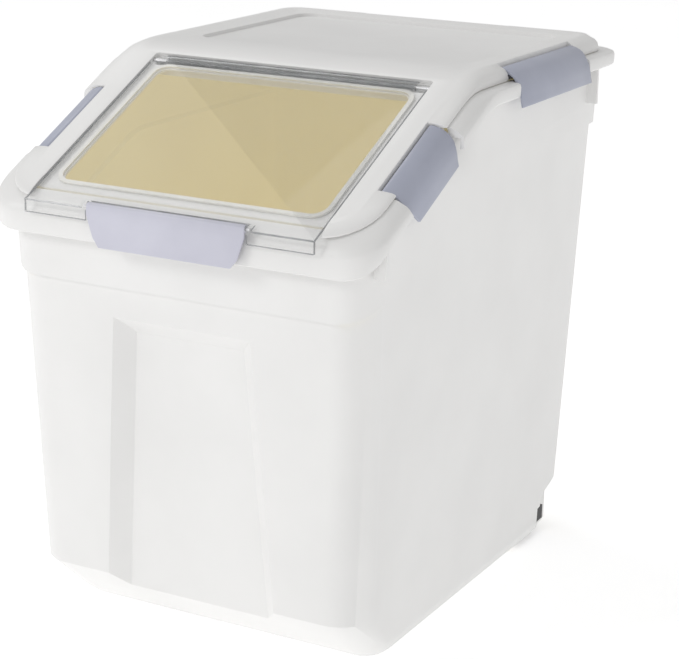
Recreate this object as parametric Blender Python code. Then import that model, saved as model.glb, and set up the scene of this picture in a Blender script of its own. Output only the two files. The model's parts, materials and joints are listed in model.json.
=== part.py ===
"""Pet food bin: tapered tub, lift-off lid with a sloped flip-up window, six snap latches, two wheels.

Frame: X to the right, Y to the back, Z up, origin on the floor under the middle of the bin.
Lengths below are in millimetres; mesh coordinates are metres.
"""
import math

import bmesh
import bpy
from mathutils import Matrix, Vector

MM = 0.001
GAP = 0.4                      # between pieces that touch

# Side profile of the lid deck: a slope from the front bend up to a level top
SLOPE = math.radians(25.4)
BEND_Y, BEND_Z = -218.3, 327.0
TOP_Z = 412.5
TOP_ROUND = 60.0

# Tub walls, all drafted: position at the floor and growth per millimetre of height
WALL_X, WALL_X_DRAFT = 134.9, 0.0316
WALL_FRONT, WALL_FRONT_DRAFT = 186.9, 0.0479
WALL_REAR, WALL_REAR_DRAFT = 181.8, 0.049
WALL_T = 2.8
CORNER_R = 26.0
BAND_DROP, BAND_STEP = 57.7, 2.5        # thicker band under the rim
EDGE_DROP = 10.5                        # outer edge of the rim flange, under the lid deck
LEDGE_DROP, LEDGE_TOP = 3.5, 402.3      # the lid's seat: close under the slope, level further back
FLANGE = 11.6                           # rim flange beyond the wall
FLOOR_Z, REAR_FLOOR_Z = 3.0, 8.0
FOOT_R = 16.0
FRONT_CHAMFER_Z, FRONT_CHAMFER_Y = 44.0, 48.0
FRONT_FOOT_Y = -141.0
REAR_FOOT_Y, REAR_STEP_Z, REAR_STEP_TOP = 158.0, 36.0, 45.0

# Lid, flap and window, measured along the slope from the bend (s) and square to it (w)
LID_FRONT_Y = -211.0
LID_OVER_WALL = 1.0
LID_DECK_T = 6.2
FLAP_W, FLAP_END, FLAP_T = 115.9, 185.2, 1.8
FLAP_LIP_Z = 317.3
REBATE_W, REBATE_END, REBATE_DEPTH = 116.6, 187.6, 3.8
WINDOW_W, WINDOW_START, WINDOW_END = 105.5, 29.8, 173.4
HINGE_S, HINGE_W, HINGE_R = 182.0, -3.4, 3.1

# Latches
PIN_R, PIN_BORE_R, BARREL_R = 1.4, 1.75, 2.8
LONG_LATCH, SHORT_LATCH = 131.0, 78.3
LATCH_PIN = (-7.0, -3.6)                # outward from the lid edge, above the deck
FRONT_PIN = (-2.6, 0.6)                 # forward of the bend, above it
FRONT_LATCH = 126.4
SLOPE_LATCH_Y, TOP_LATCH_Y = -129.0, 73.5
SLOPE_LATCH_IN, TOP_LATCH_OUT = 3.0, 1.0  # shift across the lid edge

# Wheels
WHEEL_R, WHEEL_W, WHEEL_X, WHEEL_Y = 21.0, 22.0, 113.0, 138.0
AXLE_R = 3.5
WELL_X = (98.0, 128.0)

SIDE_YS = (-185.0, -172.0, -150.0, -72.0, -64.0, -57.0, -50.4, -45.0, -40.0, -35.0, -30.0, -24.7, -15.0, 60.0)
CORNER_STEPS = 7


# ---------------------------------------------------------------- shape rules
def deck_z(y):
    """Height of the lid deck at a depth y."""
    arc_end = slope_top()[0] + TOP_ROUND * math.sin(SLOPE)
    if y <= slope_top()[0]:
        return BEND_Z + (y - BEND_Y) * math.tan(SLOPE)
    if y >= arc_end:
        return TOP_Z
    return TOP_Z - TOP_ROUND + math.sqrt(TOP_ROUND ** 2 - (arc_end - y) ** 2)


def slope_top():
    """Where the slope meets the round that leads to the level top."""
    z = TOP_Z - TOP_ROUND * (1 - math.cos(SLOPE))
    return BEND_Y + (z - BEND_Z) / math.tan(SLOPE), z


def lip_height(y):
    """Height of the rim's hanging lip: deep across the front, shallower along the sides."""
    t = min(max((-185.0 - y) / 25.0, 0.0), 1.0)
    return 10.5 + 7.8 * t * t * (3 - 2 * t)


def follow(drop):
    """A height that follows the deck, a given distance under it."""
    return lambda y: deck_z(y) - drop


def level(z):
    return lambda y: z


def seat(y):
    """Height of the ledge the lid rests on, with a soft bend where it levels out."""
    near, blend = deck_z(y) - LEDGE_DROP, 7.0
    return min(near, LEDGE_TOP) - max(blend - abs(near - LEDGE_TOP), 0.0) ** 2 / (4 * blend)


def ring(z_of, grow=0.0, front=None, rear=None, corners=(CORNER_R, CORNER_R), width=None):
    """Closed outline: right half from front to rear, then the left half back again."""
    def half(z):
        return (WALL_X + WALL_X_DRAFT * z if width is None else width(z)) + grow
    y_front = -(WALL_FRONT + WALL_FRONT_DRAFT * z_of(-205.0)) - grow if front is None else front
    y_rear = WALL_REAR + WALL_REAR_DRAFT * z_of(195.0) + grow if rear is None else rear
    r_front, r_rear = corners
    right = []
    for k in range(CORNER_STEPS + 1):
        a = math.radians(-90 + 90 * k / CORNER_STEPS)
        y = y_front + r_front * (1 + math.sin(a))
        right.append((half(z_of(y)) - r_front * (1 - math.cos(a)), y))
    right += [(half(z_of(y)), y) for y in SIDE_YS if y_front + r_front < y < y_rear - r_rear]
    while len(right) < CORNER_STEPS + 1 + len(SIDE_YS):
        x, y = right[CORNER_STEPS]
        y_next = right[CORNER_STEPS + 1][1]
        right.insert(CORNER_STEPS + 1, (x, y + 0.4 * (y_next - y)))
    for k in range(CORNER_STEPS + 1):
        a = math.radians(90 * k / CORNER_STEPS)
        y = y_rear - r_rear * (1 - math.sin(a))
        right.append((half(z_of(y)) - r_rear * (1 - math.cos(a)), y))
    points = [Vector((x, y, z_of(y))) for x, y in right]
    return points + [Vector((-p.x, p.y, p.z)) for p in reversed(points)]


def lid_rear_y():
    return WALL_REAR + WALL_REAR_DRAFT * (TOP_Z - EDGE_DROP) + LID_OVER_WALL


def lid_ring(inset, h_of):
    """Outline of the lid, moved inwards, at a height over the deck that may vary with depth."""
    def width(z):
        return WALL_X + WALL_X_DRAFT * z + LID_OVER_WALL
    z_of = follow(EDGE_DROP)
    rear = lid_rear_y()
    flat = ring(z_of, -inset, LID_FRONT_Y + inset, rear - inset,
                (max(34.0 - inset, 6.0), max(25.0 - inset, 5.0)), width)
    return [Vector((p.x, p.y, deck_z(p.y) + h_of(p.y))) for p in flat]


def border_height(y):
    """The lid's raised border fades out down the slope."""
    t = min(max((y + 60.0) / 60.0, 0.0), 1.0)
    return 0.3 + 1.7 * t * t * (3 - 2 * t)


# ---------------------------------------------------------------- mesh tools
def new_object(name, bm, cutter=False):
    bmesh.ops.scale(bm, vec=(MM, MM, MM), verts=bm.verts)
    bmesh.ops.recalc_face_normals(bm, faces=bm.faces)
    mesh = bpy.data.meshes.new(name)
    bm.to_mesh(mesh)
    bm.free()
    obj = bpy.data.objects.new(name, mesh)
    bpy.context.collection.objects.link(obj)
    if cutter:
        obj.hide_render = True
        obj.display_type = "WIRE"
    return obj


def strip_cap(bm, verts):
    """Close a ring with strips from the right half across to the left half."""
    n = len(verts)
    for k in range(n // 2 - 1):
        bm.faces.new((verts[k], verts[k + 1], verts[n - 2 - k], verts[n - 1 - k]))


def loft(rings, capped):
    """Skin a list of rings; capped ends, or the last ring joined back to the first."""
    bm = bmesh.new()
    loops = [[bm.verts.new(p) for p in points] for points in rings]
    pairs = list(zip(loops, loops[1:]))
    if not capped:
        pairs.append((loops[-1], loops[0]))
    for low, high in pairs:
        n = len(low)
        for k in range(n):
            bm.faces.new((low[k], low[(k + 1) % n], high[(k + 1) % n], high[k]))
    if capped:
        strip_cap(bm, loops[0])
        strip_cap(bm, loops[-1])
    bmesh.ops.triangulate(bm, faces=bm.faces)
    return bm


def add_prism(bm, points, frame, low, high):
    """Extrude a polygon (u, v) along a frame's third axis from low to high."""
    verts = [bm.verts.new(frame @ Vector((u, v, low))) for u, v in points]
    face = bm.faces.new(verts)
    out = bmesh.ops.extrude_face_region(bm, geom=[face])
    moved = [g for g in out["geom"] if isinstance(g, bmesh.types.BMVert)]
    along = frame.to_3x3() @ Vector((0, 0, high - low))
    bmesh.ops.translate(bm, verts=moved, vec=along)


def add_box(bm, x, y, z):
    """A box between two values on each axis."""
    size = Vector((x[1] - x[0], y[1] - y[0], z[1] - z[0]))
    mid = Vector(((x[0] + x[1]) / 2, (y[0] + y[1]) / 2, (z[0] + z[1]) / 2))
    bmesh.ops.create_cube(bm, size=1.0, matrix=Matrix.Translation(mid) @ Matrix.Diagonal((*size, 1)))


def add_rod(bm, start, end, radius, sides=20):
    """A round bar between two points."""
    start, end = Vector(start), Vector(end)
    turn = (end - start).to_track_quat("Z", "Y").to_matrix().to_4x4()
    bmesh.ops.create_cone(bm, cap_ends=True, segments=sides, radius1=radius, radius2=radius,
                          depth=(end - start).length, matrix=Matrix.Translation((start + end) / 2) @ turn)


def add_hull(bm, points):
    """The convex solid around a few points."""
    verts = [bm.verts.new(p) for p in points]
    bmesh.ops.convex_hull(bm, input=verts)


def rounded_box(half_w, start, end, r_start, r_end, steps=5):
    """Outline of a plate, across by along, with its corners rounded."""
    corners = ((half_w - r_start, start + r_start, r_start, -90), (half_w - r_end, end - r_end, r_end, 0),
               (-half_w + r_end, end - r_end, r_end, 90), (-half_w + r_start, start + r_start, r_start, 180))
    points = []
    for cx, cy, r, a0 in corners:
        if r == 0:
            points.append((cx, cy))
            continue
        for k in range(steps + 1):
            a = math.radians(a0 + 90 * k / steps)
            points.append((cx + r * math.cos(a), cy + r * math.sin(a)))
    return points


def boolean(obj, other, operation):
    mod = obj.modifiers.new(operation.lower(), "BOOLEAN")
    mod.operation = operation
    mod.object = other
    mod.solver = "EXACT"


def axes(origin, u, v, w):
    """A frame whose axes are u, v and w."""
    m = Matrix((u, v, w)).transposed().to_4x4()
    m.translation = Vector(origin)
    return m


COS, SIN = math.cos(SLOPE), math.sin(SLOPE)
SLOPE_FRAME = axes((0, BEND_Y, BEND_Z), (1, 0, 0), (0, COS, SIN), (0, -SIN, COS))


def on_slope(x, s, w):
    return SLOPE_FRAME @ Vector((x, s, w))


# ---------------------------------------------------------------- materials
def material(name, colour, roughness, metallic=0.0, alpha=1.0):
    mat = bpy.data.materials.new(name)
    mat.use_nodes = True
    shader = mat.node_tree.nodes["Principled BSDF"]
    shader.inputs["Base Color"].default_value = (*colour, 1.0)
    shader.inputs["Roughness"].default_value = roughness
    shader.inputs["Metallic"].default_value = metallic
    shader.inputs["Alpha"].default_value = alpha
    return mat


def finish(obj, mat, angle=40.0):
    obj.data.materials.append(mat)
    obj.data.shade_smooth()
    obj.data.set_sharp_from_angle(angle=math.radians(angle))
    return obj


# ---------------------------------------------------------------- latches
def latch_frame(edge):
    """Frame of a latch: u outwards, v square to the deck, w along the edge; origin on the lid edge."""
    if edge == "front":
        return axes((0, BEND_Y, BEND_Z), (0, -1, 0), (0, 0, 1), (-1, 0, 0))
    if edge == "rear":
        return axes((0, lid_rear_y(), TOP_Z), (0, 1, 0), (0, 0, 1), (1, 0, 0))
    side, place = edge.split("_")
    sign = 1.0 if side == "right" else -1.0
    y = SLOPE_LATCH_Y if place == "slope" else TOP_LATCH_Y
    x = WALL_X + WALL_X_DRAFT * (deck_z(y) - EDGE_DROP) + LID_OVER_WALL
    if place == "slope":
        at = (sign * (x - SLOPE_LATCH_IN), y, deck_z(y))
        return axes(at, (sign, 0, 0), (0, -SIN, COS), (0, -sign * COS, -sign * SIN))
    return axes((sign * (x + TOP_LATCH_OUT), y, deck_z(y)), (sign, 0, 0), (0, 0, 1), (0, -sign, 0))


LID_LATCHES = ("right_slope", "left_slope", "right_top", "left_top", "rear")
LATCHES = {edge: SHORT_LATCH if "slope" in edge else LONG_LATCH for edge in LID_LATCHES}
LATCHES["front"] = FRONT_LATCH
# Cuts that narrow a latch towards its tip: height and inset of two points on the cut
TAPERS = {"right_slope": ((-12.0, 0.0, -28.2, 7.0),), "left_slope": ((-12.0, 0.0, -28.2, 7.0),),
          "front": ((-5.0, 0.0, -21.0, 5.5), (-21.0, 5.5, -27.0, 10.5))}

LID_LATCH_OUTSIDE = ((-4.5, -1.3), (-2.0, -2.0), (0.6, -3.1), (3.2, -4.9), (5.2, -7.3), (6.9, -10.2),
                     (8.4, -13.2), (9.6, -16.6), (10.6, -20.2), (11.1, -24.2), (12.1, -28.2))
LID_LATCH_INSIDE = ((9.9, -28.6), (8.9, -24.4), (8.4, -20.5), (7.4, -17.2), (6.3, -14.2), (4.9, -11.6),
                    (3.4, -9.0), (1.9, -7.3), (-0.2, -6.0), (-2.6, -5.0))
FRONT_LATCH_OUTSIDE = ((0.1, 2.0), (0.5, -1.0), (0.8, -6.0), (1.0, -14.0), (1.1, -23.0), (1.9, -27.0))
FRONT_LATCH_INSIDE = ((-0.3, -27.0), (-1.1, -23.0), (-1.2, -14.0), (-1.3, -6.0))


def arc(centre, radius, start, end, steps):
    angles = [math.radians(start + (end - start) * k / steps) for k in range(steps + 1)]
    return [(centre[0] + radius * math.cos(a), centre[1] + radius * math.sin(a)) for a in angles]


def latch_section(edge):
    """Section of a latch: a curved plate that ends in a C-shaped barrel around its pin."""
    if edge == "front":
        pin, turn = FRONT_PIN, -40
    else:
        pin, turn = LATCH_PIN, 0
    outside = FRONT_LATCH_OUTSIDE if edge == "front" else LID_LATCH_OUTSIDE
    inside = FRONT_LATCH_INSIDE if edge == "front" else LID_LATCH_INSIDE
    barrel = arc(pin, BARREL_R, 90 + turn, 190, 6)
    bore = arc(pin, PIN_BORE_R, 190, -70 + turn, 12)
    heel = arc(pin, BARREL_R, -70 + turn, -20 + turn, 3)
    return list(reversed(outside)) + barrel + bore + heel + list(reversed(inside))


def trim(bm, point, normal):
    """Cut off what lies beyond a plane and close the cut."""
    cut = bmesh.ops.bisect_plane(bm, geom=bm.verts[:] + bm.edges[:] + bm.faces[:], plane_co=point,
                                 plane_no=normal, clear_outer=True)
    edges = [g for g in cut["geom_cut"] if isinstance(g, bmesh.types.BMEdge)]
    if edges:
        bmesh.ops.contextual_create(bm, geom=edges)


def latch_solid(edge, section, slack):
    """A section run along a lid edge, with the latch's tapered ends."""
    half = LATCHES[edge] / 2 + slack
    bm = bmesh.new()
    add_prism(bm, section, Matrix.Identity(4), -half, half)
    for v0, inset0, v1, inset1 in TAPERS.get(edge, ()):
        for sign in (1, -1):
            normal = Vector((0, (inset1 - inset0), -(v1 - v0) * sign))
            if normal.z * sign < 0:
                normal.negate()
            normal.y = -abs(normal.y)
            trim(bm, (0, v0, sign * (half - inset0)), normal)
    bmesh.ops.transform(bm, matrix=latch_frame(edge), verts=bm.verts)
    return bm


def add_mesh(bm, other):
    """Copy one bmesh into another."""
    mesh = bpy.data.meshes.new("copy")
    other.to_mesh(mesh)
    other.free()
    bm.from_mesh(mesh)
    bpy.data.meshes.remove(mesh)


def make_latch(edge, mat):
    return finish(new_object(edge + "_latch", latch_solid(edge, latch_section(edge), 0.0)), mat)


def make_pin(edge, mat, reach):
    pin = FRONT_PIN if edge == "front" else LATCH_PIN
    frame = latch_frame(edge)
    ends = [frame @ Vector((*pin, s * (LATCHES[edge] / 2 + reach))) for s in (-1, 1)]
    bm = bmesh.new()
    add_rod(bm, ends[0], ends[1], PIN_R, 12)
    return finish(new_object(edge + "_latch_pin", bm), mat)


def put_origin(obj, point):
    """Move an object's origin to a point on its joint axis."""
    point = Vector(point) * MM
    obj.data.transform(Matrix.Translation(-point))
    obj.location = point


# ---------------------------------------------------------------- tub
def front_chamfer_y(z):
    return FRONT_FOOT_Y - FRONT_CHAMFER_Y * z / FRONT_CHAMFER_Z


def tub_shell():
    rings = []
    for deg in (0, 30, 60, 90):
        a = math.radians(deg)
        z, inset = FOOT_R * (1 - math.cos(a)), FOOT_R * (1 - math.sin(a))
        rings.append(ring(level(z), -inset, front_chamfer_y(z) + 0.2 * inset, REAR_FOOT_Y - 0.25 * inset,
                          (max(CORNER_R - inset, 10.0), max(CORNER_R - inset, 10.0))))
    rings.append(ring(level(REAR_STEP_Z), 0, front_chamfer_y(REAR_STEP_Z), REAR_FOOT_Y))
    rings.append(ring(level(FRONT_CHAMFER_Z), 0, None, WALL_REAR))
    rings.append(ring(level(REAR_STEP_TOP + 1), 0))
    inner = BAND_STEP - WALL_T

    def lip(y):
        return deck_z(y) - EDGE_DROP - lip_height(y)
    rings.append(ring(follow(EDGE_DROP + BAND_DROP)))
    rings.append(ring(follow(EDGE_DROP + BAND_DROP - 1.2), BAND_STEP))
    rings.append(ring(follow(EDGE_DROP + WALL_T), BAND_STEP))
    rings.append(ring(follow(EDGE_DROP + WALL_T), FLANGE - WALL_T))
    rings.append(ring(lip, FLANGE - WALL_T))
    rings.append(ring(lip, FLANGE - 0.8))
    rings.append(ring(lambda y: lip(y) + 1.2, FLANGE))
    rings.append(ring(follow(EDGE_DROP + 3.0), FLANGE))
    rings.append(ring(follow(EDGE_DROP + 0.8), FLANGE - 0.8))
    rings.append(ring(lambda y: 0.75 * (deck_z(y) - EDGE_DROP) + 0.25 * seat(y), FLANGE - 2.6))
    rings.append(ring(lambda y: 0.15 * (deck_z(y) - EDGE_DROP) + 0.85 * seat(y), 3.0))
    rings.append(ring(seat, inner))
    rings.append(ring(follow(EDGE_DROP + BAND_DROP - 1.2), inner))
    rings.append(ring(follow(EDGE_DROP + BAND_DROP + 1.5), -WALL_T))
    rings.append(ring(level(REAR_STEP_TOP + 4), -WALL_T))
    rings.append(ring(level(REAR_STEP_Z + 3), -WALL_T, front_chamfer_y(REAR_STEP_Z + 3) + 4.0,
                      REAR_FOOT_Y - WALL_T))
    for up, grow in ((10.5, -0.6), (3.0, -4.2), (0.0, -10.2)):
        rings.append(ring(level(FLOOR_Z + up), grow - WALL_T, front_chamfer_y(FLOOR_Z + up) + 4.0 - 0.2 * grow,
                          REAR_FOOT_Y - WALL_T + 0.3 * grow))
    return loft(rings, capped=True)


def front_wall_y(z):
    return -(WALL_FRONT + WALL_FRONT_DRAFT * z)


def recess_points(grow, depth, outside, top, foot):
    """Corner points of the front recess: wider at the foot, with walls that slope inwards."""
    points = []
    for z in (top, foot):
        half = 56.0 + 14.5 * (245.0 - z) / 205.0 + grow
        for across in (outside, depth):
            high = z - across if z == top else z
            points += [(side * (half - across), front_wall_y(z) + across, high) for side in (1, -1)]
    return points


def tub_additions():
    """Material behind the front recess and the wheel wells, and the four ribs under the rim."""
    bm = bmesh.new()
    half = 58.0
    points = []
    for z, y_out, y_in, w_out, w_in in ((248.0, 1.4, 14.8, half, half - 10.0), (44.0, 1.4, 14.8, 74.0, 62.0),
                                        (30.0, 18.0, 18.8, 75.0, 63.0)):
        for y, w in ((front_wall_y(z) + y_out, w_out), (front_wall_y(z) + y_in, w_in)):
            points += [(w, y, z), (-w, y, z)]
    add_hull(bm, points)
    for sign in (1, -1):
        section = ((WELL_X[0] - 4, 4.0), (126.5, 4.0), (131.0, 11.0), (131.0, 50.0), (WELL_X[0] - 4, 50.0))
        add_hull(bm, [(sign * x, y, z) for x, z in section for y in (105.5, 156.5)])
        for y, z in ((-190.0, (299.0, 318.0)), (162.0, (364.0, 400.5))):
            x_in = WALL_X + WALL_X_DRAFT * z[1] + 1.0
            xs = sorted((sign * x_in, sign * (x_in + FLANGE - 2.5)))
            add_box(bm, xs, (y - 1.3, y + 1.3), z)
    return new_object("tub_additions", bm, cutter=True)


def tub_rear_floor():
    """Thicker floor over the raised rear of the foot."""
    bm = bmesh.new()
    add_box(bm, (-123.0, 123.0), (88.0, 156.0), (2.0, REAR_FLOOR_Z))
    return new_object("tub_rear_floor", bm, cutter=True)


def tub_main_cuts():
    """Front recess, wheel wells and the rim's latch notches."""
    bm = bmesh.new()
    add_hull(bm, recess_points(0.0, 12.0, -6.0, 245.0, -12.0))
    for sign in (1, -1):
        xs = sorted((sign * WELL_X[0], sign * WELL_X[1]))
        add_box(bm, xs, (109.0, 175.0), (-3.0, 47.2))
    for edge in LID_LATCHES:
        outline = ((7.5, -42.0), (24.0, -42.0), (24.0, 4.0), (-3.0, 4.0), (-3.0, -5.5), (-0.4, -6.5), (1.5, -7.9),
                   (2.8, -9.4), (4.3, -12.0), (5.7, -14.6), (6.8, -17.5), (7.5, -21.0))
        add_mesh(bm, latch_solid(edge, outline, 3.2 if "slope" in edge else 0.8))
    return new_object("tub_main_cuts", bm, cutter=True)


def tub_wheel_cuts():
    """Slots and holes that hold the axles, and the raised rear of the foot."""
    bm = bmesh.new()
    for sign in (1, -1):
        add_box(bm, sorted((sign * 126.0, sign * 140.0)), (131.5, 144.5), (15.0, 27.5))
        add_rod(bm, (sign * 88.0, WHEEL_Y, WHEEL_R), (sign * 100.0, WHEEL_Y, WHEEL_R), AXLE_R + GAP)
    add_hull(bm, [(x, y, z) for x in (-160, 160) for y, z in ((94, -1), (100, 5), (240, 5), (240, -1))])
    return new_object("tub_wheel_cuts", bm, cutter=True)


def make_tub(mat):
    tub = new_object("tub", tub_shell())
    boolean(tub, tub_rear_floor(), "UNION")
    boolean(tub, tub_additions(), "UNION")
    boolean(tub, tub_main_cuts(), "DIFFERENCE")
    boolean(tub, tub_wheel_cuts(), "DIFFERENCE")
    return finish(tub, mat)


# ---------------------------------------------------------------- lid
def lid_shell():
    """Solid rim with a rounded edge, a plug that drops into the tub, and the deck across it."""
    def wall(grow, h):
        return ring(follow(h), grow)

    def side(inset, part):
        """A ring part of the way up the lid's edge, from its seat to the deck."""
        return lid_ring(inset, lambda y: -(1 - part) * (deck_z(y) - seat(y) - GAP))
    rings = [lid_ring(19.5, lambda y: -LID_DECK_T), lid_ring(16.5, lambda y: -10.5), wall(-5.8, 10.5),
             wall(-5.8, 24.0), wall(-3.2, 24.0), ring(lambda y: seat(y) + GAP, -3.2), side(0.0, 0.0),
             side(0.0, 0.3), side(0.8, 0.57), side(2.8, 0.82), side(5.8, 0.97), lid_ring(9.5, border_height),
             lid_ring(15.0, border_height), lid_ring(19.5, lambda y: 0.0)]
    return loft(rings, capped=True)


def lid_additions():
    """Thicker strip under the flap hinge."""
    bm = bmesh.new()
    add_prism(bm, ((-119, 175.5), (119, 175.5), (119, 189.0), (-119, 189.0)), SLOPE_FRAME, -11.5, -5.0)
    return new_object("lid_additions", bm, cutter=True)


def lid_main_cuts():
    """Flap seat, recessed rear panel, latch notches."""
    bm = bmesh.new()
    add_prism(bm, rounded_box(REBATE_W, -30.0, REBATE_END, 0.0, 3.0), SLOPE_FRAME, -REBATE_DEPTH, 14.0)
    add_prism(bm, rounded_box(118.0, 8.0, 178.0, 14.0, 14.0), Matrix.Identity(4), TOP_Z - 2.6, TOP_Z + 9.0)
    for edge in LID_LATCHES:
        half = LATCHES[edge] / 2 + 0.6
        outline = ((-10.8, -7.2), (-3.0, -7.2), (-2.0, -12.0), (9.0, -12.0), (9.0, 9.0), (-10.8, 9.0))
        add_prism(bm, outline, latch_frame(edge), -half, half)
    return new_object("lid_main_cuts", bm, cutter=True)


def lid_fine_cuts():
    """Window opening, hinge groove and the holes for the latch pins."""
    bm = bmesh.new()
    add_prism(bm, rounded_box(WINDOW_W, WINDOW_START, WINDOW_END, 9.0, 9.0), SLOPE_FRAME, -13.0, 6.0)
    add_rod(bm, on_slope(-114.0, HINGE_S, HINGE_W), on_slope(114.0, HINGE_S, HINGE_W), 5.0, 24)
    for edge in LID_LATCHES:
        frame = latch_frame(edge)
        ends = [frame @ Vector((*LATCH_PIN, s * (LATCHES[edge] / 2 + 4.0))) for s in (-1, 1)]
        add_rod(bm, ends[0], ends[1], PIN_BORE_R, 12)
    return new_object("lid_fine_cuts", bm, cutter=True)


def lid_rod_cut():
    bm = bmesh.new()
    add_rod(bm, on_slope(-121.6, HINGE_S, HINGE_W), on_slope(121.6, HINGE_S, HINGE_W), PIN_BORE_R, 12)
    return new_object("lid_rod_cut", bm, cutter=True)


def make_lid(mat):
    lid = new_object("lid_frame", lid_shell())
    boolean(lid, lid_additions(), "UNION")
    boolean(lid, lid_main_cuts(), "DIFFERENCE")
    boolean(lid, lid_fine_cuts(), "DIFFERENCE")
    boolean(lid, lid_rod_cut(), "DIFFERENCE")
    return finish(lid, mat)


def make_lid_seal(mat):
    """Soft ring between the lid's plug and the tub's mouth."""
    rings = [ring(follow(drop), grow) for drop, grow in ((18.0, -0.8), (14.0, -0.8), (14.0, -2.8), (18.0, -2.8))]
    return finish(new_object("lid_seal", loft(rings, capped=False)), mat)


# ---------------------------------------------------------------- flap
def make_flap(mat):
    """Clear panel with a front lip, a hinge barrel and two ears that carry the front latch."""
    lip_t = 2.0
    section = [(-BEND_Y, FLAP_LIP_Z), (-BEND_Y, BEND_Z)]
    end_top = on_slope(0, FLAP_END, 0)
    end_low = on_slope(0, FLAP_END, -FLAP_T)
    corner_y = BEND_Y + lip_t
    corner_z = BEND_Z + (lip_t * SIN - FLAP_T) / COS
    points = [(BEND_Y, FLAP_LIP_Z), (BEND_Y, BEND_Z), (end_top.y, end_top.z), (end_low.y, end_low.z),
              (corner_y, corner_z), (corner_y, FLAP_LIP_Z)]
    bm = bmesh.new()
    along_x = axes((0, 0, 0), (0, 1, 0), (0, 0, 1), (1, 0, 0))
    add_prism(bm, points, along_x, -FLAP_W, FLAP_W)
    r = 11.5
    for sign in (1, -1):
        for deg in (15, 33, 51, 69):
            a = math.radians(deg)
            n = SLOPE_FRAME.to_3x3() @ Vector((sign * math.sin(a), math.cos(a), 0))
            centre = on_slope(sign * (FLAP_W - r), FLAP_END - r, 0)
            trim(bm, centre + n * r, n)
    flap = new_object("window_flap", bm)
    extra = bmesh.new()
    add_rod(extra, on_slope(-104.0, HINGE_S, HINGE_W), on_slope(104.0, HINGE_S, HINGE_W), HINGE_R, 20)
    frame = latch_frame("front")
    ear = arc(FRONT_PIN, 3.7, 0, 345, 15)
    side = FRONT_LATCH / 2
    for low in (-side - 4.6, side + 0.5):
        add_prism(extra, ear, frame, low, low + 4.1)
    boolean(flap, new_object("flap_additions", extra, cutter=True), "UNION")
    notch = bmesh.new()
    add_prism(notch, ((-side - 0.5, -30.0), (side + 0.5, -30.0), (side + 0.5, 7.2), (-side - 0.5, 7.2)),
              SLOPE_FRAME, -14.0, 6.0)
    boolean(flap, new_object("flap_notch", notch, cutter=True), "DIFFERENCE")
    bores = bmesh.new()
    add_rod(bores, on_slope(-110.0, HINGE_S, HINGE_W), on_slope(110.0, HINGE_S, HINGE_W), PIN_R + 0.2, 12)
    ends = [frame @ Vector((*FRONT_PIN, s * (side + 3.6))) for s in (-1, 1)]
    add_rod(bores, ends[0], ends[1], PIN_R + 0.2, 12)
    boolean(flap, new_object("flap_bores", bores, cutter=True), "DIFFERENCE")
    put_origin(flap, on_slope(0, HINGE_S, HINGE_W))
    return finish(flap, mat)


def make_flap_seal(mat):
    """Soft ring around the window, under the flap."""
    outline = rounded_box(WINDOW_W + 4.2, WINDOW_START - 4.2, WINDOW_END + 3.4, 13.0, 12.0)
    inner = rounded_box(WINDOW_W + 1.0, WINDOW_START - 1.0, WINDOW_END + 0.6, 10.0, 10.0)
    low, high = -REBATE_DEPTH + 0.2, -FLAP_T - 0.2
    rings = [[on_slope(u, v, w) for u, v in points]
             for points, w in ((outline, low), (outline, high), (inner, high), (inner, low))]
    return finish(new_object("flap_seal", loft(rings, capped=False)), mat)


def make_hinge_rod(mat):
    bm = bmesh.new()
    add_rod(bm, on_slope(-121.0, HINGE_S, HINGE_W), on_slope(121.0, HINGE_S, HINGE_W), PIN_R, 12)
    return finish(new_object("flap_hinge_rod", bm), mat)


# ---------------------------------------------------------------- wheels
def make_wheel(side, mat):
    """Turned wheel with a recessed web and a hub bore."""
    sign = 1 if side == "right" else -1
    half, bore, hub, web = WHEEL_W / 2, AXLE_R + GAP, 8.0, 4.0
    profile = ((bore, half), (hub, half), (hub + 1, web), (WHEEL_R - 5, web), (WHEEL_R - 4, half),
               (WHEEL_R - 1.2, half), (WHEEL_R, half - 1.2))
    profile = profile + tuple((r, -x) for r, x in reversed(profile))
    steps = 32
    bm = bmesh.new()
    loops = []
    for k in range(steps):
        a = 2 * math.pi * k / steps
        loops.append([bm.verts.new((x, r * math.cos(a), r * math.sin(a))) for r, x in profile])
    n = len(profile)
    for k in range(steps):
        a, b = loops[k], loops[(k + 1) % steps]
        for i in range(n):
            bm.faces.new((a[i], a[(i + 1) % n], b[(i + 1) % n], b[i]))
    wheel = new_object(side + "_wheel", bm)
    wheel.location = Vector((sign * WHEEL_X, WHEEL_Y, WHEEL_R)) * MM
    return finish(wheel, mat)


def make_axle(side, mat):
    sign = 1 if side == "right" else -1
    bm = bmesh.new()
    add_rod(bm, (sign * 90.0, WHEEL_Y, WHEEL_R), (sign * 133.0, WHEEL_Y, WHEEL_R), AXLE_R)
    return finish(new_object(side + "_axle", bm), mat)


def make_axle_cap(side, mat):
    """Block that fills the slot in the wheel skirt around the axle's end."""
    sign = 1 if side == "right" else -1
    bm = bmesh.new()
    add_box(bm, sorted((sign * 128.6, sign * 134.8)), (131.9, 144.1), (15.4, 27.1))
    cap = new_object(side + "_axle_cap", bm)
    bore = bmesh.new()
    add_rod(bore, (sign * 126.0, WHEEL_Y, WHEEL_R), (sign * 133.4, WHEEL_Y, WHEEL_R), AXLE_R + GAP)
    boolean(cap, new_object(side + "_cap_bore", bore, cutter=True), "DIFFERENCE")
    return finish(cap, mat)


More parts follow.
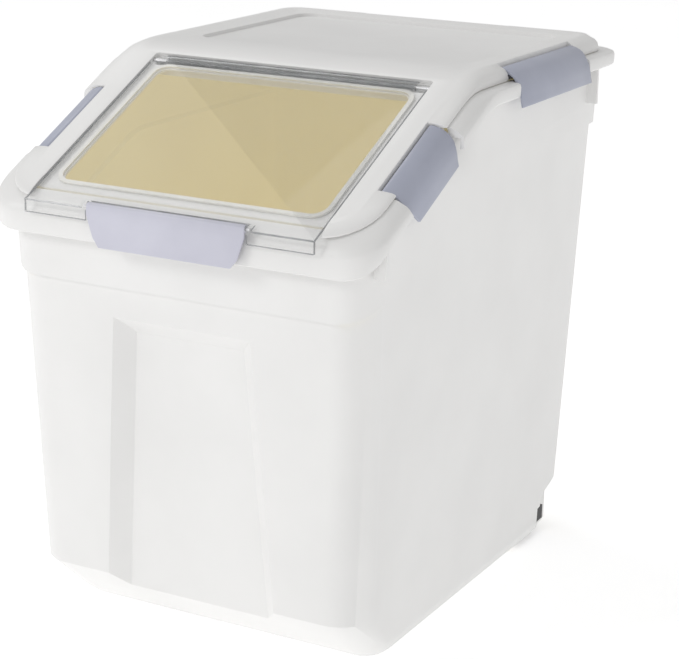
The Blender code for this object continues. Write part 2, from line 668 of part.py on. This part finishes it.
def main():
    for obj in list(bpy.data.objects):
        bpy.data.objects.remove(obj, do_unlink=True)
    white = material("white_plastic", (0.80, 0.79, 0.77), 0.42)
    clear = material("clear_plastic", (0.95, 0.96, 0.95), 0.06, alpha=0.3)
    lilac = material("lilac_plastic", (0.42, 0.45, 0.58), 0.38)
    rubber = material("soft_seal", (0.86, 0.85, 0.80), 0.6)
    steel = material("steel", (0.55, 0.55, 0.56), 0.3, metallic=1.0)
    black = material("black_plastic", (0.02, 0.02, 0.02), 0.5)
    make_tub(white)
    make_lid(white)
    make_lid_seal(rubber)
    make_flap(clear)
    make_flap_seal(rubber)
    make_hinge_rod(steel)
    for edge in LATCHES:
        pin = FRONT_PIN if edge == "front" else LATCH_PIN
        latch = make_latch(edge, lilac)
        put_origin(latch, latch_frame(edge) @ Vector((*pin, 0)))
        make_pin(edge, steel, 3.2)
    for side in ("right", "left"):
        make_wheel(side, black)
        make_axle(side, steel)
        make_axle_cap(side, black)


main()
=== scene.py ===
"""Pet food bin: finished surfaces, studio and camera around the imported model. Lengths in metres."""
import json
import math

import bpy
from mathutils import Matrix, Vector


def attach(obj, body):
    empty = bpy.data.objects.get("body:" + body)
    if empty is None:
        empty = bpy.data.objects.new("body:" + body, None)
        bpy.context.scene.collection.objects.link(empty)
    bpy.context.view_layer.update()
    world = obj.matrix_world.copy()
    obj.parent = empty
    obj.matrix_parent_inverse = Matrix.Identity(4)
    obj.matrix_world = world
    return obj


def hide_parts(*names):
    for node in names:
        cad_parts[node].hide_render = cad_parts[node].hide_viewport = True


# Lid deck, as in the part: the slope rises from the bend to the level top
SLOPE = math.radians(25.4)
BEND = Vector((0.0, -0.2183, 0.3270))
TOP_Z = 0.4125

# Planes just outside the tub's inner faces: place at the floor, and growth per metre of height
INNER_SIDE, INNER_SIDE_DRAFT = 0.1362, 0.0316
INNER_FRONT, INNER_FRONT_DRAFT = 0.1882, 0.0479
INNER_REAR, INNER_REAR_DRAFT = 0.1831, 0.049
INWARD_LEAN = 0.02                             # least lean towards the middle of an inner wall's face
RIM_DEPTH = 0.022                              # the white rim reaches this far under the deck
INNER_FLOOR, FLOOR_RISE = 0.0025, 0.06         # just under the inside bottom, and above its highest part
WELL_TOP, WELL_FRONT, WELL_SIDE = 0.0480, 0.1085, 0.0975    # bounds of the wheel wells, which stay white

# Camera: place in metres, turn in degrees
CAMERA_PLACE = (0.73135, -1.32177, 0.64239)
CAMERA_AZIMUTH, CAMERA_ELEVATION, CAMERA_ROLL = 28.12, 16.36, 1.02
CAMERA_LENS, CAMERA_SENSOR = 107.05, 36.0
CAMERA_SHIFT = (-0.01244, -0.00823)

# Studio
FLOOR_SIZE, FLOOR_DROP, FLOOR_GLOW = 24.0, 0.0006, 0.42
AIR_STRENGTH = 0.60
SOFTBOXES = (                                  # name, place, aim, size, power
    ("front_softbox", (-1.7, -2.2, 1.9), (0, -0.05, 0.2), 0.9, 20.0),
    ("top_softbox", (-0.95, 0.35, 1.70), (0, -0.13, 0.37), 0.8, 4.0),
)

# Edge rounding, in metres
TUB_EDGE, LID_EDGE, FLAP_EDGE, LATCH_EDGE = 0.0018, 0.0007, 0.0005, 0.0005
LINE_WIDTH, LINE_LENGTH = 0.0009, 0.012        # flap faces narrower and longer round than this take the painted edge shade

LATCHES = ("front_latch", "right_slope_latch", "left_slope_latch", "right_top_latch", "left_top_latch",
           "rear_latch")

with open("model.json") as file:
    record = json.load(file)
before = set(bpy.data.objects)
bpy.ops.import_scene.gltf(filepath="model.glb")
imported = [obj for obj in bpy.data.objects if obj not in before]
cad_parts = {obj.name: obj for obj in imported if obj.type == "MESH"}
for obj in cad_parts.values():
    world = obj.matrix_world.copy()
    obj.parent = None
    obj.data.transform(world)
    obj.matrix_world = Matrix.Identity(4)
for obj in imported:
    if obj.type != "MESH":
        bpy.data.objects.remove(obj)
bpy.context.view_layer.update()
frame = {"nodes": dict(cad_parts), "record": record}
nodes = frame["nodes"]
body_of = {node: body for body, group in frame["record"]["behaviour"]["bodies"].items() for node in group}


# ---------------------------------------------------------------- camera
def make_camera():
    azimuth, elevation = math.radians(CAMERA_AZIMUTH), math.radians(CAMERA_ELEVATION)
    roll = math.radians(CAMERA_ROLL)
    look = Vector((-math.sin(azimuth) * math.cos(elevation), math.cos(azimuth) * math.cos(elevation),
                   -math.sin(elevation)))
    right = Vector((math.cos(azimuth), math.sin(azimuth), 0.0))
    up = right.cross(look)
    right_rolled = right * math.cos(roll) + up * math.sin(roll)
    up_rolled = up * math.cos(roll) - right * math.sin(roll)
    turn = Matrix((right_rolled, up_rolled, -look)).transposed()
    data = bpy.data.cameras.new("studio_camera")
    data.lens, data.sensor_width = CAMERA_LENS, CAMERA_SENSOR
    data.shift_x, data.shift_y = CAMERA_SHIFT
    data.clip_start, data.clip_end = 0.05, 50.0
    camera = bpy.data.objects.new("studio_camera", data)
    camera.matrix_world = Matrix.Translation(CAMERA_PLACE) @ turn.to_4x4()
    bpy.context.collection.objects.link(camera)
    bpy.context.scene.camera = camera


# ---------------------------------------------------------------- materials
def new_material(name):
    mat = bpy.data.materials.new(name)
    mat.use_nodes = True
    tree = mat.node_tree
    return mat, tree, tree.nodes["Principled BSDF"]


def mottle(tree, low, high, scale, detail=4.0):
    """A soft colour variation over the surface."""
    coords = tree.nodes.new("ShaderNodeTexCoord")
    noise = tree.nodes.new("ShaderNodeTexNoise")
    noise.inputs["Scale"].default_value = scale
    noise.inputs["Detail"].default_value = detail
    tree.links.new(coords.outputs["Object"], noise.inputs["Vector"])
    ramp = tree.nodes.new("ShaderNodeValToRGB")
    ramp.color_ramp.elements[0].position = 0.3
    ramp.color_ramp.elements[0].color = (*low, 1)
    ramp.color_ramp.elements[1].position = 0.7
    ramp.color_ramp.elements[1].color = (*high, 1)
    tree.links.new(noise.outputs["Fac"], ramp.inputs["Fac"])
    return ramp.outputs["Color"]


def grain(tree, shader, scale, strength, distance=0.0002):
    """Fine moulded grain."""
    coords = tree.nodes.new("ShaderNodeTexCoord")
    noise = tree.nodes.new("ShaderNodeTexNoise")
    noise.inputs["Scale"].default_value = scale
    noise.inputs["Detail"].default_value = 3.0
    tree.links.new(coords.outputs["Object"], noise.inputs["Vector"])
    bump = tree.nodes.new("ShaderNodeBump")
    bump.inputs["Strength"].default_value = strength
    bump.inputs["Distance"].default_value = distance
    tree.links.new(noise.outputs["Fac"], bump.inputs["Height"])
    tree.links.new(bump.outputs["Normal"], shader.inputs["Normal"])
    spread = tree.nodes.new("ShaderNodeMapRange")
    spread.inputs["To Min"].default_value = shader.inputs["Roughness"].default_value - 0.05
    spread.inputs["To Max"].default_value = shader.inputs["Roughness"].default_value + 0.05
    tree.links.new(noise.outputs["Fac"], spread.inputs["Value"])
    tree.links.new(spread.outputs["Result"], shader.inputs["Roughness"])


def plastic(name, low, high, roughness, scale=14.0, grain_scale=1800.0, strength=0.12):
    mat, tree, shader = new_material(name)
    shader.inputs["Roughness"].default_value = roughness
    tree.links.new(mottle(tree, low, high, scale), shader.inputs["Base Color"])
    grain(tree, shader, grain_scale, strength)
    return mat


def tan_inside_painted_glow():
    """Tan inside of the tub, with a painted glow (emission) standing in for the light that reaches the
    inside.
    """
    mat, tree, shader = new_material("tan_inside_painted_glow")
    shader.inputs["Roughness"].default_value = 0.55
    tree.links.new(mottle(tree, (0.55, 0.50, 0.33), (0.61, 0.56, 0.37), 8.0), shader.inputs["Base Color"])
    # painted glow: a warm emission that stands in for light inside the closed tub
    tree.links.new(mottle(tree, (0.92, 0.80, 0.44), (1.0, 0.88, 0.52), 5.0), shader.inputs["Emission Color"])
    shader.inputs["Emission Strength"].default_value = 0.26
    grain(tree, shader, 1800.0, 0.12)
    return mat


def clear_plastic():
    mat, tree, shader = new_material("clear_moulded_plastic")
    shader.inputs["Roughness"].default_value = 0.07
    shader.inputs["IOR"].default_value = 1.49
    tree.links.new(mottle(tree, (0.90, 0.91, 0.91), (0.96, 0.97, 0.97), 9.0), shader.inputs["Base Color"])
    facing = tree.nodes.new("ShaderNodeLayerWeight")
    facing.inputs["Blend"].default_value = 0.32
    spread = tree.nodes.new("ShaderNodeMapRange")
    spread.inputs["To Min"].default_value = 0.02
    spread.inputs["To Max"].default_value = 0.22
    tree.links.new(facing.outputs["Facing"], spread.inputs["Value"])
    tree.links.new(spread.outputs["Result"], shader.inputs["Alpha"])
    return mat


def painted_edge_shade():
    """Painted shade: the grey line along a clear moulding's edges, where its rounded edges bend the light."""
    mat, tree, shader = new_material("clear_edge_painted_shade")
    shader.inputs["Roughness"].default_value = 0.15
    shader.inputs["Alpha"].default_value = 0.8
    # painted shade: a dark grey tone for the flap's edges
    tone = mottle(tree, (0.20, 0.21, 0.22), (0.42, 0.43, 0.44), 60.0)
    tree.links.new(tone, shader.inputs["Base Color"])
    return mat


def steel():
    mat, tree, shader = new_material("drawn_steel_wire")
    shader.inputs["Metallic"].default_value = 1.0
    shader.inputs["Roughness"].default_value = 0.42
    tree.links.new(mottle(tree, (0.66, 0.66, 0.67), (0.80, 0.80, 0.81), 260.0), shader.inputs["Base Color"])
    grain(tree, shader, 2400.0, 0.1)
    return mat


white = plastic("white_moulded_plastic", (0.800, 0.795, 0.785), (0.835, 0.830, 0.820), 0.40)
khaki = tan_inside_painted_glow()
# lit and shaded copies of one lilac latch plastic: a lighter copy with painted light, a darker copy with
# painted shade
lilac_painted_lit = plastic("lilac_latch_painted_lit", (0.565, 0.565, 0.650), (0.605, 0.605, 0.690), 0.34, scale=30.0)
lilac_painted_shade = plastic("lilac_latch_painted_shade", (0.405, 0.425, 0.515), (0.440, 0.460, 0.550), 0.36, scale=30.0)
seal = plastic("soft_white_seal", (0.80, 0.79, 0.74), (0.86, 0.85, 0.81), 0.55, scale=40.0, strength=0.2)
black = plastic("black_wheel_plastic", (0.015, 0.015, 0.016), (0.030, 0.030, 0.031), 0.5,
                scale=60.0, strength=0.25)
clear = clear_plastic()
edge_shade_line = painted_edge_shade()
wire = steel()


# ---------------------------------------------------------------- pieces from the frame
def only(obj):
    """Select one object and make it active."""
    bpy.ops.object.select_all(action="DESELECT")
    obj.select_set(True)
    bpy.context.view_layer.objects.active = obj


def finished(node, name, mat, width, segments=3, angle=32.0, clamp=True):
    """The moulded version of a node: merged, its flat faces joined, its edges rounded.

    With clamp on, small neighbouring faces limit how far the edges are rounded.
    """
    source = nodes[node]
    obj = source.copy()
    obj.data = source.data.copy()
    obj.name = obj.data.name = name
    obj.parent = None
    obj.matrix_world = Matrix.Identity(4)
    bpy.context.collection.objects.link(obj)
    only(obj)
    bpy.ops.object.mode_set(mode="EDIT")
    bpy.ops.mesh.select_mode(type="VERT")
    bpy.ops.mesh.select_all(action="SELECT")
    bpy.ops.mesh.remove_doubles(threshold=0.00002)
    bpy.ops.mesh.dissolve_limited(angle_limit=math.radians(0.6))
    bpy.ops.object.mode_set(mode="OBJECT")
    obj.data.materials.clear()
    obj.data.materials.append(mat)
    bevel = obj.modifiers.new("rounded_edges", "BEVEL")
    bevel.width = width
    bevel.segments = segments
    bevel.limit_method = "ANGLE"
    bevel.use_clamp_overlap = clamp
    bevel.angle_limit = math.radians(angle)
    bpy.ops.object.modifier_apply(modifier=bevel.name)
    bpy.ops.object.shade_smooth_by_angle(angle=math.radians(40.0))
    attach(obj, body_of[node])
    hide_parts(node)
    return obj


def paint_inside(obj):
    """The tub's inner faces show the tan inside."""
    obj.data.materials.append(khaki)
    for face in obj.data.polygons:
        x, y, z = face.center
        front = -INNER_FRONT - INNER_FRONT_DRAFT * z
        rear = INNER_REAR + INNER_REAR_DRAFT * z
        within = abs(x) < INNER_SIDE + INNER_SIDE_DRAFT * z and front < y < rear
        inwards = face.normal.x * x + face.normal.y * y < -INWARD_LEAN * math.hypot(x, y)
        bottom = face.normal.z > 0.5 and INNER_FLOOR < z < FLOOR_RISE
        in_well = z < WELL_TOP and y > WELL_FRONT and abs(x) > WELL_SIDE
        rim = min(BEND.z + (y - BEND.y) * math.tan(SLOPE), TOP_Z) - RIM_DEPTH
        if within and (inwards or bottom) and INNER_FLOOR < z < rim and not in_well:
            face.material_index = 1


def mark_painted_edge_shade(obj):
    """Narrow rounded edges of the clear flap take the painted edge shade."""
    obj.data.materials.append(edge_shade_line)
    points = obj.data.vertices
    # mask of the narrow edge faces that take the painted edge shade
    for face in obj.data.polygons:
        around = sum((points[a].co - points[b].co).length for a, b in face.edge_keys)
        if 2 * face.area / max(around, 1e-9) < LINE_WIDTH and around > LINE_LENGTH:
            face.material_index = 1


tub = finished("tub", "moulded_tub", white, TUB_EDGE)
paint_inside(tub)
finished("lid_frame", "moulded_lid", white, LID_EDGE, 2)
flap = finished("window_flap", "clear_flap", clear, FLAP_EDGE, 1, clamp=False)
only(flap)
bpy.ops.object.shade_flat()
mark_painted_edge_shade(flap)
for node in LATCHES:
    # the front latch takes the lighter copy with painted light, the other latches the darker copy with
    # painted shade
    latch_plastic = lilac_painted_lit if node == "front_latch" else lilac_painted_shade
    finished(node, node + "_plate", latch_plastic, LATCH_EDGE, 2)

kept = {"lid_seal": seal, "flap_seal": seal, "flap_hinge_rod": wire}
for node in nodes:
    if node.endswith("_pin") or node.endswith("_axle"):
        kept[node] = wire
    if node.endswith("_wheel") or node.endswith("_cap"):
        kept[node] = black
for node, mat in kept.items():
    for slot in nodes[node].material_slots:
        slot.material = mat


# ---------------------------------------------------------------- studio
def make_studio():
    bpy.ops.mesh.primitive_plane_add(size=FLOOR_SIZE, location=(0, 0, -FLOOR_DROP))
    floor = bpy.context.object
    floor.name = "studio_floor"
    mat, tree, shader = new_material("studio_paper")
    shader.inputs["Roughness"].default_value = 0.9
    shader.inputs["Specular IOR Level"].default_value = 0.1
    shader.inputs["Emission Color"].default_value = (1.0, 1.0, 1.0, 1)
    shader.inputs["Emission Strength"].default_value = FLOOR_GLOW
    tree.links.new(mottle(tree, (0.93, 0.93, 0.93), (0.95, 0.95, 0.95), 2.0), shader.inputs["Base Color"])
    floor.data.materials.append(mat)
    world = bpy.data.worlds.new("studio_air")
    world.use_nodes = True
    air = world.node_tree.nodes["Background"]
    air.inputs["Color"].default_value = (1.0, 1.0, 1.0, 1)
    air.inputs["Strength"].default_value = AIR_STRENGTH
    bpy.context.scene.world = world
    for name, place, aim, size, power in SOFTBOXES:
        data = bpy.data.lights.new(name, "AREA")
        data.size = size
        data.energy = power
        lamp = bpy.data.objects.new(name, data)
        lamp.location = place
        lamp.rotation_euler = (Vector(aim) - Vector(place)).to_track_quat("-Z", "Y").to_euler()
        bpy.context.collection.objects.link(lamp)
    bpy.context.scene.view_settings.view_transform = "Standard"


make_camera()
make_studio()
